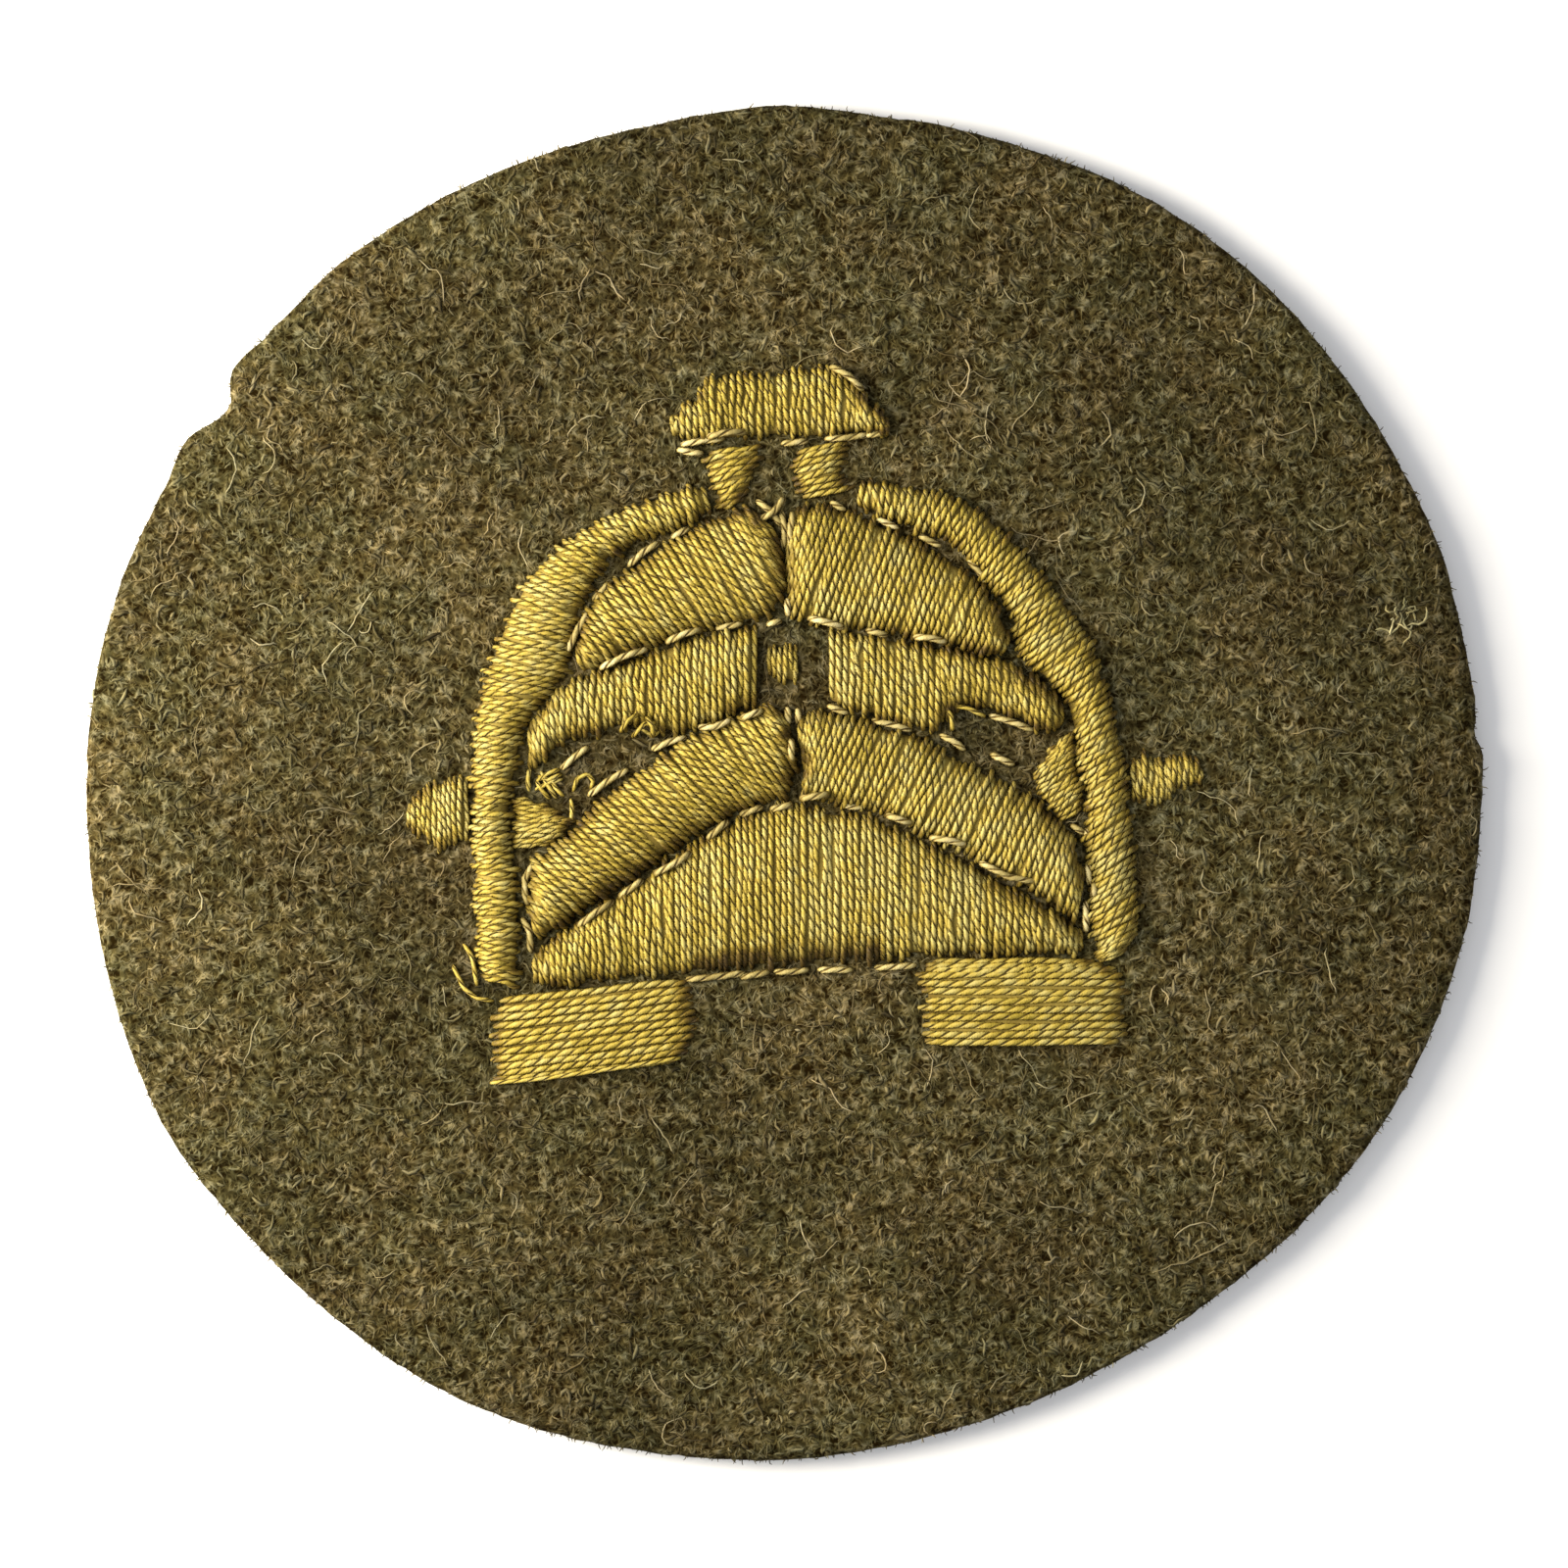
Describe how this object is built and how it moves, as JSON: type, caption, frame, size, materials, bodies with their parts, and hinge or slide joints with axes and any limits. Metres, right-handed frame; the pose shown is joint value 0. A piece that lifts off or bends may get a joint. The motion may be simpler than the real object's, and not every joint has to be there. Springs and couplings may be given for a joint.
{
  "type": "embroidered rank patch",
  "caption": "Round hand-cut wool cloth disc with a domed, chevron-crossed device worked in raised satin stitch, to be sewn on a sleeve.",
  "frame": {"origin": "centre of the disc's bounding box on its flat back", "axes": "+X to the right of the device, +Y up the device towards its cap, +Z out of the front"},
  "size_m": [0.07, 0.068, 0.0027],
  "materials": {
    "wool": "matt milled wool cloth with a fuzzy nap",
    "thread": "soft sheen of two-ply embroidery thread"
  },
  "bodies": {
    "root": {"wool_disc": "wool", "rim_left": "thread", "rim_right": "thread", "crown_left": "thread", "crown_right": "thread", "band_left": "thread", "band_right": "thread", "centre_knot": "thread", "chevron_left": "thread", "chevron_right": "thread", "base_panel": "thread", "gusset_left": "thread", "gusset_right": "thread", "cap": "thread", "post_left": "thread", "post_right": "thread", "lug_left": "thread", "lug_right": "thread", "foot_left": "thread", "foot_right": "thread"}
  },
  "joints": []
}
